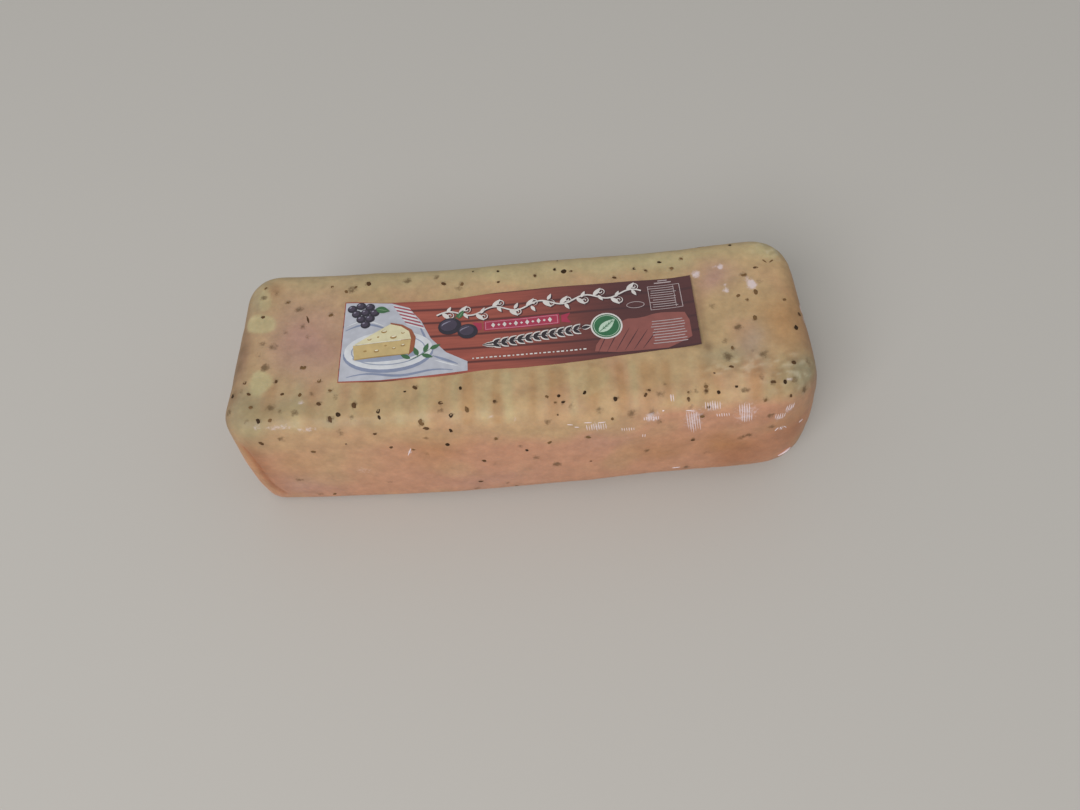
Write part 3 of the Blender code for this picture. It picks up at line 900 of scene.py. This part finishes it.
# %% [markdown]
# ## The print
#
# This label has a plain design of its own, in the warm colours and at the scale of a food label: a
# cheese on a pale cloth at the left, dark red planks behind, a vine, a ribbon, an ear of grain, a leaf
# badge and an empty table. Each ink is one piece, cut as flat shapes, split along a grid so that it
# can bend, and dropped on the paper. Shapes cut this way stay crisp at any distance, which a painted
# pattern would not.

# %% Tools for cutting ink
# The print's own places are millimetres from its middle, u along it and v across it
PRINT_MIDDLE = (-1.0, 2.1)
PRINT_TURN = math.radians(1.39)
INK_CELL = 3.0
CELLS_ALONG, CELLS_ACROSS = 31, 9  # on each side of the middle
INK_STEP = 0.035 * MM

inks = []


def start_ink(name):
    """Starts the piece of one ink, in edit mode. The shapes that follow are cut into it."""
    bpy.ops.object.select_all(action="DESELECT")
    bpy.ops.object.add(type="MESH")
    bpy.context.object.name = "ink_" + name
    bpy.ops.object.mode_set(mode="EDIT")


def fit_shape(u, v, long, tall, turn):
    """Stretches and turns the shape that was just added. With no window, rotate turns clockwise."""
    bpy.ops.transform.resize(value=(long, tall, 1), center_override=(u, v, 0))
    bpy.ops.transform.rotate(value=-math.radians(turn), orient_axis="Z", center_override=(u, v, 0))


def bar(u, v, long, tall, turn=0):
    """A filled rectangle by its middle."""
    bpy.ops.mesh.primitive_plane_add(size=1, location=(u, v, 0))
    fit_shape(u, v, long, tall, turn)


def disc(u, v, long, tall, turn=0, sides=32):
    """A filled oval, or with few sides a diamond or a triangle."""
    bpy.ops.mesh.primitive_circle_add(vertices=sides, radius=0.5, fill_type="NGON", location=(u, v, 0))
    fit_shape(u, v, long, tall, turn)


def outline(points, rounds=0):
    """A filled shape. Each round cuts its corners, so the shape gets softer."""
    for unused in range(rounds):
        soft = []
        for (u0, v0), (u1, v1) in zip(points, points[1:] + points[:1]):
            for near, far in ((0.75, 0.25), (0.25, 0.75)):
                soft.append((near * u0 + far * u1, near * v0 + far * v1))
        points = soft
    mesh = bpy.context.object.data
    shape = bmesh.from_edit_mesh(mesh)
    shape.faces.new([shape.verts.new((u, v, 0)) for u, v in points])
    bmesh.update_edit_mesh(mesh)


def stroke(route, width, taper=True):
    """A drawn line along a route of points, thin at its ends if it tapers."""
    mesh = bpy.context.object.data
    shape = bmesh.from_edit_mesh(mesh)
    sides = []
    for at, (u, v) in enumerate(route):
        before, after = route[max(at - 1, 0)], route[min(at + 1, len(route) - 1)]
        way = Vector((after[0] - before[0], after[1] - before[1])).normalized()
        half = width / 2 * (0.25 + 0.75 * math.sin(math.pi * at / (len(route) - 1)) if taper else 1)
        sides.append([shape.verts.new((u - s * half * way.y, v + s * half * way.x, 0)) for s in (-1, 1)])
    for (right0, left0), (right1, left1) in zip(sides, sides[1:]):
        shape.faces.new((right0, right1, left1, left0))
    bmesh.update_edit_mesh(mesh)


def line(u, v, along, up, steps, swing=0, length=1):
    """Points of a line that starts at u, v. With a swing it waves like a sine."""
    return [(u + along * k, v + up * k + swing * math.sin(k / length)) for k in range(steps)]


def ring(u, v, wide, tall, sides):
    """Points round an oval, by its two radii."""
    turns = [turn * math.tau / sides for turn in range(sides + 1)]
    return [(u + wide * math.cos(turn), v + tall * math.sin(turn)) for turn in turns]


def print_ink(layer, colour):
    """Splits the flat shapes, puts them on the paper and inks them."""
    ink = bpy.context.object
    for cut in range(-CELLS_ALONG, CELLS_ALONG + 1):
        for way in ((1, 0, 0), (0, 1, 0)):
            if way[0] or abs(cut) <= CELLS_ACROSS:
                bpy.ops.mesh.select_all(action="SELECT")
                spot = (cut * INK_CELL * way[0], cut * INK_CELL * way[1], 0)
                bpy.ops.mesh.bisect(plane_co=spot, plane_no=way)
    bpy.ops.mesh.select_all(action="SELECT")
    bpy.ops.mesh.quads_convert_to_tris()
    bpy.ops.mesh.normals_make_consistent(inside=False)
    bpy.ops.object.mode_set(mode="OBJECT")
    lay = Matrix.Translation(Vector((*PRINT_MIDDLE, TALL / MM)) * MM) @ Matrix.Rotation(PRINT_TURN, 4, "Z")
    ink.data.transform(lay @ Matrix.Scale(MM, 4))
    drop_on(ink, paper)
    ink.data.transform(Matrix.Translation((0, 0, INK_STEP * layer)))
    if ink.data.polygons[0].normal.z < 0:
        ink.data.flip_normals()
    ink.data.materials.append(ink_finish(ink.name, colour))
    inks.append(ink)
    missed = sum(vert.co.z > paper_top + MM for vert in ink.data.vertices)
    print(ink.name, "has", len(ink.data.polygons), "faces,", missed, "points off the paper")


# %% [markdown]
# ## Finish: coated paper
#
# The label is coated paper, offset printed: a smooth satin surface whose ink hides the fibre. The
# planks of the design are about nine millimetres wide with dark seams, drawn with grain that runs
# along them, and they get darker towards the right.

# %% Printed paper
PLANK = 9.2 * MM
WOOD_GRAIN = 1.6 * MM
INK_CLOUD = 4 * MM
DARKER_FROM, DARKER_TO = -25 * MM, 62 * MM


def paper_surface(finish, colour_from):
    """The satin surface that the bare print and every ink share."""
    shader = add_node(
        finish,
        "BsdfPrincipled",
        {"Roughness": 0.42, "IOR": 1.5, "Coat Weight": 0.15, "Coat Roughness": 0.25},
        {"Base Color": colour_from},
    )
    add_node(finish, "OutputMaterial", links={"Surface": (shader, 0)})


planks, here = new_finish("offset_print_planks")
laid = add_node(
    planks, "Mapping", {"Rotation": (0, 0, -math.radians(1.4)), "Scale": (0.07, 1, 1)}, {"Vector": here} 
)
wood_grain = add_node(
    planks, "TexNoise", {"Scale": 1 / WOOD_GRAIN, "Detail": 4.0, "Roughness": 0.6}, {"Vector": (laid, 0)} 
)
seams = add_node(
    planks,
    "TexWave",
    {"bands_direction": "Y", "Scale": WAVE_TURN / PLANK, "Distortion": 0.5, "Detail": 1.0},
    {"Vector": (laid, 0)},
)
seam_line = add_node(planks, "MapRange", {"From Min": 0.0, "From Max": 0.12}, {"Value": (seams, "Fac")})
board = add_node(
    planks, "Mix", {"data_type": "RGBA", 6: linear("79382f"), 7: linear("b8624f")}, {0: (wood_grain, 0)} 
)
seamed = add_node(
    planks, "Mix", {"data_type": "RGBA", 6: linear("5a2a26")}, {0: (seam_line, 0), 7: (board, 2)} 
)
across = add_node(planks, "SeparateXYZ", links={0: here})
to_right = add_node(
    planks,
    "MapRange",
    {"interpolation_type": "SMOOTHSTEP", "From Min": DARKER_FROM, "From Max": DARKER_TO, "To Max": 0.9},
    {"Value": (across, "X")},
)
darker = add_node(
    planks, "Mix", {"data_type": "RGBA", 7: linear("45282a")}, {0: (to_right, 0), 6: (seamed, 2)} 
)
paper_surface(planks, (darker, 2))
edge = paper.modifiers.new("edge", "SOLIDIFY")
edge.thickness = PAPER_THICK
edge.offset = -1
paper.data.materials.append(planks)
print("planks are", PLANK / MM, "mm wide")


def ink_finish(name, colour):
    """Ink with the slight unevenness of an offset print."""
    finish, here = new_finish("offset_" + name)
    cloudy = add_node(finish, "TexNoise", {"Scale": 1 / INK_CLOUD, "Detail": 3.0}, {"Vector": here})
    strength = add_node(finish, "MapRange", noise_to(0.88, 1.04), {"Value": (cloudy, 0)})
    tint = add_node(
        finish, "VectorMath", {"operation": "SCALE", 0: linear(colour)[:3]}, {"Scale": (strength, 0)} 
    )
    paper_surface(finish, (tint, 0))
    return finish


# %% [markdown]
# ## The picture at the left
#
# A wedge of cheese lies on a plate, on a pale cloth with a striped napkin, beside grapes and two plums.
# Every form is flat colour, as in a screen print: the large pale fields come first, and each later
# ink lies one step higher. Folds, rims and gleams are thin tapering strokes.

# %% Pale cloth, plate and its shade
NAPKIN = [(-66.6, 22.6), (-57.2, 19.4), (-48.8, 4.2), (-58.8, 8.4)]

start_ink("cloth")
behind = [(-91.6, 25.6), (-67, 23.6), (-58, 20), (-51, 10), (-46, -2), (-38, -12), (-27, -19)]
outline(behind + [(-27, -24.9), (-48.8, -25.9), (-71.5, -26.9), (-92.9, -25.7)])
print_ink(1, "bcbec6")

start_ink("shade")
disc(-68, -9.6, 47, 26)
stroke(line(-91, 6.5, 3, 0, 9, 3.5, 2.2), 1.4)
stroke(line(-89, -23.6, 3.4, 0, 17, 1.2, 1.7), 1.5)
stroke(line(-45, -13.5, 2.6, -1.3, 6), 1.6)
stroke(line(-52, 7, 0.9, -2.4, 6), 1.2)
print_ink(2, "8790a8")

start_ink("plate")
disc(-68, -8, 46, 25)
outline(NAPKIN)
stroke(line(-90.5, 9.2, 2.6, 0, 9, 3.2, 2.2), 0.9)
stroke(line(-44, -16.4, 2.6, -1.1, 6), 0.9)
print_ink(3, "d8dadc")

start_ink("rim")
stroke(ring(-68, -8, 19, 9.6, 48), 0.6, False)
disc(-69.4, -11.6, 34, 7.4, 2)
print_ink(4, "9aa2b5")

# %% Cheese
start_ink("rind")
back_edge = [(-67.4, 10.2), (-61, 8.4), (-56, 4.6), (-53.8, -0.6), (-54.6, -9.4), (-57.6, -12.2)]
outline(back_edge + [(-60, -4), (-66, 4)])
print_ink(5, "9c5a3c")

start_ink("curd")
outline([(-86.5, -3.6), (-67.4, 9.2), (-61.6, 7.2), (-57.4, 3.6), (-56.2, -1.6)])
print_ink(6, "dfd6ae")

start_ink("butter")
outline([(-86.5, -3.9), (-56.3, -1.9), (-57.2, -11.4), (-85.4, -13.4)])
print_ink(6, "ccb27a")

start_ink("hole")
for u, v, wide in (
    (-78, -0.4, 2.2), (-70.5, 4.2, 3.0), (-65.5, 0.2, 3.4), (-60.6, 2.8, 1.9), (-73.5, 0.8, 1.3),
    (-74, -8.4, 2.8), (-65, -7.3, 2.0), (-80, -8.0, 1.8), (-69.4, -5.2, 1.4), (-60.4, -5.6, 2.4),
):
    disc(u, v, wide, 0.66 * wide, 8)
stroke(line(-86.2, -13.0, 1.6, 0.09, 19), 0.7)
print_ink(7, "a8874f")

start_ink("gleam")
for u, v, wide in (
    (-78, -0.1, 1.5), (-70.4, 4.6, 2.1), (-65.4, 0.7, 2.4), (-60.5, 3.1, 1.2), (-74, -8.0, 1.9),
    (-65, -7.0, 1.3), (-60.4, -5.2, 1.6),
):
    disc(u, v, wide, 0.4 * wide, 8)
stroke(line(-86, -3.5, 1.5, 0.1, 20), 0.45)
print_ink(8, "f0e8cc")

# %% Napkin stripes, grapes and plums
GRAPES = (
    (-88, 21), (-83.4, 22.6), (-78.6, 21.6), (-85.6, 17.4), (-80.8, 18), (-76, 17.6), (-83, 13.6),
    (-78.4, 13.8), (-80.6, 9.8),
)

start_ink("rose")
for stripe in range(5):
    corners = []
    for side, share in ((0, 0.06), (1, 0.06), (1, 0.15), (0, 0.15)):
        (u0, v0), (u1, v1) = NAPKIN[side], NAPKIN[3 - side]
        down = share + 0.19 * stripe
        corners.append((u0 + (u1 - u0) * down, v0 + (v1 - v0) * down))
    outline(corners)
print_ink(5, "a5505c")

start_ink("slate")
for u, v in GRAPES:
    disc(u, v, 5.2, 5.0)
disc(-36, 5.2, 12.4, 11.4, 20)
disc(-26.6, 0.8, 10.8, 10, -15)
print_ink(4, "2b2733")

start_ink("bloom")
for u, v in GRAPES:
    disc(u - 0.4, v + 0.4, 3.4, 3.2)
disc(-36.6, 6, 9, 8, 20)
disc(-27.2, 1.6, 7.8, 7, -15)
print_ink(5, "453c4d")

start_ink("light")
for u, v in GRAPES:
    disc(u - 1.0, v + 1.1, 1.3, 0.9, 30)
for u, v, size in ((-40.2, 5.6, 0.8), (-30.6, 1.2, 0.7)):
    stroke([(u + 0.3 * k * k, v + size * k) for k in range(5)], size)
print_ink(6, "8f8a9c")


# %% Leaves
def leaf(u, v, long, wide, turn):
    """A pointed leaf that starts at u, v and points along its turn."""
    along, out = math.radians(turn), math.radians(turn + 90)
    shares = (0, 0.15, 0.3, 0.45, 0.6, 0.75, 0.9, 1)
    edge = [(long * share, wide / 2 * math.sin(math.pi * share**0.8)) for share in shares]
    outline(
        [
            (u + a * math.cos(along) + b * math.cos(out), v + a * math.sin(along) + b * math.sin(out))
            for a, b in edge + [(a, -b) for a, b in edge[-2:0:-1]]
        ]
    )


start_ink("leaf")
for u, v, turn in (
    (-56.4, -14.6, 150), (-52.6, -13, 110), (-49.4, -11, 70), (-46.4, -9.2, 25), (-50.6, -12.4, -20),
):
    leaf(u, v, 6.2, 2.6, turn)
leaf(-75.6, 20.4, 8, 4.6, -16)
leaf(-31.6, 10, 6.4, 3, 62)
stroke([(-57, -15.6), (-53.4, -13.8), (-49.6, -11.6), (-46, -9)], 0.6)
stroke([(-33.6, 9.6), (-32.4, 11.6), (-31.9, 13.6)], 0.7)
print_ink(6, "3f6b43")

start_ink("leaf_veins")
stroke(line(-75.0, 20.2, 1.25, -0.36, 6), 0.4)
stroke(line(-31.2, 10.6, 0.7, 1.25, 4), 0.35)
print_ink(7, "7fa07a")

# %% [markdown]
# ## Ribbon, vine, badge and table
#
# The right two thirds are planks with plain ornament. A vine with leaves and tendrils runs along the
# top, a crimson ribbon with small lozenges lies in the middle over an ear of grain, and a round badge
# holds one leaf. The far right has an empty ruled table over a paler ruled panel.

# %% Ribbon and panel
start_ink("panel")
top_edge = [(88.8, -1.2), (82, 0.2), (73, 1.0), (64, -1.5), (55, -1.0), (48, -8), (40, -14)]
outline([(38, -21.6), (88.5, -22.1)] + top_edge, 1)
print_ink(1, "8f544c")

start_ink("crimson")
bar(2, 3.4, 40, 6.6)
for end in (-1, 1):
    outline([(2 + end * out, v) for out, v in ((21, 1.2), (26, 0.1), (24, 3.4), (26, 6.7), (21, 5.6))])
print_ink(2, "a8324d")

start_ink("pink")
for v in (0.9, 5.9):
    bar(2, v, 38, 0.35)
for u in (-17, 21):
    bar(u, 3.4, 0.35, 5.3)
print_ink(3, "d08a98")

# %% Tools for the vine and the ear of grain
VINE = line(-43, 13.2, 1.5, 0.04, 74, 2.0, 2.6)
EAR = line(-19, -9.4, 1.4, 0.14, 38)


def tendril(u, v, reach, side):
    """A spiral of one and a half turns that starts at u, v."""
    route = [(0.35 * turn, reach * (1 - turn / 30)) for turn in range(26)]
    points = [(u + out * math.sin(angle), v + side * (reach - out * math.cos(angle))) for angle, out in route]
    stroke(points, 0.7)


def draw_vine(shift_u, shift_v, wider):
    """The vine's stem with a leaf to each side and a tendril at every sixth point."""
    stroke([(u + shift_u, v + shift_v) for u, v in VINE], 0.9 + wider, False)
    for step in range(12):
        u, v = VINE[2 + 6 * step]
        side = 1 if step % 2 else -1
        leaf(u + shift_u, v + shift_v, 6.6, 2.5 + wider, side * 48)
        leaf(u + 2.6 + shift_u, v + shift_v, 4.6, 1.9 + wider, -side * 62)
        tendril(u + 4.2 + shift_u, v + shift_v, 2.3, side)


def draw_ear(wider):
    """The ear's stem, its grains in pairs and two beards at its foot."""
    stroke(EAR, 0.7 + wider)
    for step in range(11):
        u, v = EAR[4 + 3 * step]
        for side in (-1, 1):
            leaf(u - wider / 2, v, 4.6 + wider, 2.0 + wider, side * 36)
    leaf(EAR[-1][0], EAR[-1][1], 5 + wider, 2.1 + wider, 6)
    for side in (-1, 1):
        stroke(line(-19, -9.4, 2.6, 0, 5, side * 1.1, 1.4), 0.7 + wider)


print("the vine has", len(VINE), "points and the ear", len(EAR))

# %% Vine, ear of grain and badge
start_ink("shadow")
draw_vine(0.6, -0.6, 0.1)
for row in range(6):
    stroke(line(40 + 4.6 * row, -20.8, 1.2, 2.3 - 0.16 * row, 8), 0.45)
print_ink(2, "42242a")

start_ink("cream")
draw_vine(0, 0, 0)
draw_ear(1.0)
for step in range(11):
    disc(-13 + 3 * step, 3.4, 1.6 if step % 2 else 2.2, 1.6 if step % 2 else 3.4, 0, 4)
for step in range(26):
    bar(-24 + 2.3 * step, -17.6, 1.5 if step % 3 else 0.8, 0.8)
disc(46, -4.5, 16.6, 16.6)
print_ink(4, "ddd8d2")

start_ink("ear")
draw_ear(0)
print_ink(5, "2e2429")

start_ink("badge")
disc(46, -4.5, 14.8, 14.8)
print_ink(5, "2f6b45")

start_ink("badge_leaf")
leaf(41.6, -8.2, 12, 5.4, 40)
stroke(ring(46, -4.5, 6.6, 6.6, 40), 0.3, False)
print_ink(6, "bfd6c0")

start_ink("badge_veins")
stroke(line(40.6, -9.1, 1.25, 1.05, 9), 0.5)
for step in range(4):
    u, v = 43.8 + 1.5 * step, -6.4 + 1.26 * step
    stroke([(u, v), (u + 0.3, v + 1.0), (u + 0.9, v + 1.9)], 0.3)
    stroke([(u, v), (u + 1.1, v + 0.1), (u + 2.0, v + 0.6)], 0.3)
print_ink(7, "2f6b45")

# %% Ruled table and lines
start_ink("rules")
for v in (3.0, 18.6):
    bar(78.5, v, 16.6, 0.35)
for u in (70.2, 86.8):
    bar(u, 10.8, 0.35, 15.9)
for row in range(9):
    bar(78.0 - 0.5 * (row % 3), 4.7 + 1.55 * row, 13.4 - 1.6 * (row % 2), 0.42)
bar(83.6, 10.8, 0.3, 14)
for row in range(9):
    bar(77.4 + 0.3 * (row % 2), -18.6 + 1.75 * row, 17.5 - 0.9 * (row % 3), 0.5)
bar(78.5, 20.6, 9, 0.7)
bar(78.5, 22.0, 5, 0.6)
stroke(ring(62.5, 7.4, 4.6, 2.0, 32), 0.35, False)
print_ink(3, "b9a9a8")
print("the print has", len(inks), "inks")

# %% [markdown]
# ## Camera, light and floor
#
# The camera stands in front of the loaf and above it, looks down at fifty-eight degrees, and is
# tipped a little, as a hand-held camera is. Its place and lens come from a fit of the loaf's outline.
# A wide soft light from the front left and a pale surround give the calm light of a cold room.

# %% Camera
IMAGE_WIDTH = 1080
FOCAL_PIXELS = 879
LOOK_DOWN = 57.87
LOOK_LEFT = 1.96
TIPPED = 5.13

camera = bpy.data.objects.new("camera", bpy.data.cameras.new("camera"))
bpy.context.scene.collection.objects.link(camera)
camera.data.sensor_width = 36
camera.data.lens = 36 * FOCAL_PIXELS / IMAGE_WIDTH
aim = Matrix.Rotation(math.radians(LOOK_LEFT), 4, "Z") @ Matrix.Rotation(math.radians(90 - LOOK_DOWN), 4, "X")
tip = Matrix.Rotation(-math.radians(TIPPED), 4, "Z")
camera.matrix_world = Matrix.Translation(Vector((16.4, -277.4, 445.0)) * MM) @ aim @ tip
bpy.context.scene.camera = camera
print("the lens is", round(camera.data.lens, 1), "mm on a 36 mm sensor")

# %% Light
bpy.context.scene.view_settings.view_transform = "Standard"
surround = bpy.data.worlds.new("surround")
surround.use_nodes = True
surround.node_tree.nodes["Background"].inputs["Color"].default_value = linear("e4e6e8")
surround.node_tree.nodes["Background"].inputs["Strength"].default_value = 0.6
bpy.context.scene.world = surround


def soft_light(name, place, target, size, power, colour):
    light = bpy.data.lights.new(name, "AREA")
    light.shape = "RECTANGLE"
    light.size, light.size_y = size
    light.energy = power
    light.color = linear(colour)[:3]
    stand = bpy.data.objects.new(name, light)
    bpy.context.scene.collection.objects.link(stand)
    place, target = Vector(place), Vector(target)
    aim = (target - place).to_track_quat("-Z", "Y").to_matrix().to_4x4()
    stand.matrix_world = Matrix.Translation(place) @ aim
    return stand


soft_light("window", (-1.3, -2.3, 2.1), (0, 0, 0), (2.0, 1.6), 60, "fbfaff")
soft_light("lamp", (-0.38, -1.0, 1.5), (0, 0, 0), (0.3, 0.24), 3.0, "fffaf2")

# %% Floor
bpy.ops.object.select_all(action="DESELECT")
bpy.ops.mesh.primitive_plane_add(size=8, location=(0, 0, -0.1 * MM))
floor = bpy.context.object
floor.name = "floor"
floor_finish, here = new_finish("matt_pale_board")
floor_shader = add_node(floor_finish, "BsdfPrincipled", {"Base Color": linear("c1bdb5"), "Roughness": 0.8} )
add_node(floor_finish, "OutputMaterial", links={"Surface": (floor_shader, 0)})
floor.data.materials.append(floor_finish)
print("the floor is", round(floor.dimensions.x, 1), "m wide")

# %% [markdown]
# ## Hand over
#
# The loaf has no moving parts, so every piece rides on its one body. The new rind stands for the
# plain solid.

# %% Hand over
for piece in (rind, black_bits, dark_bits, brown_bits, skin_ribs):
    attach(piece, "root")
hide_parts("cheese_loaf")
for piece in [paper] + inks:
    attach(piece, "root")
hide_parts("label")
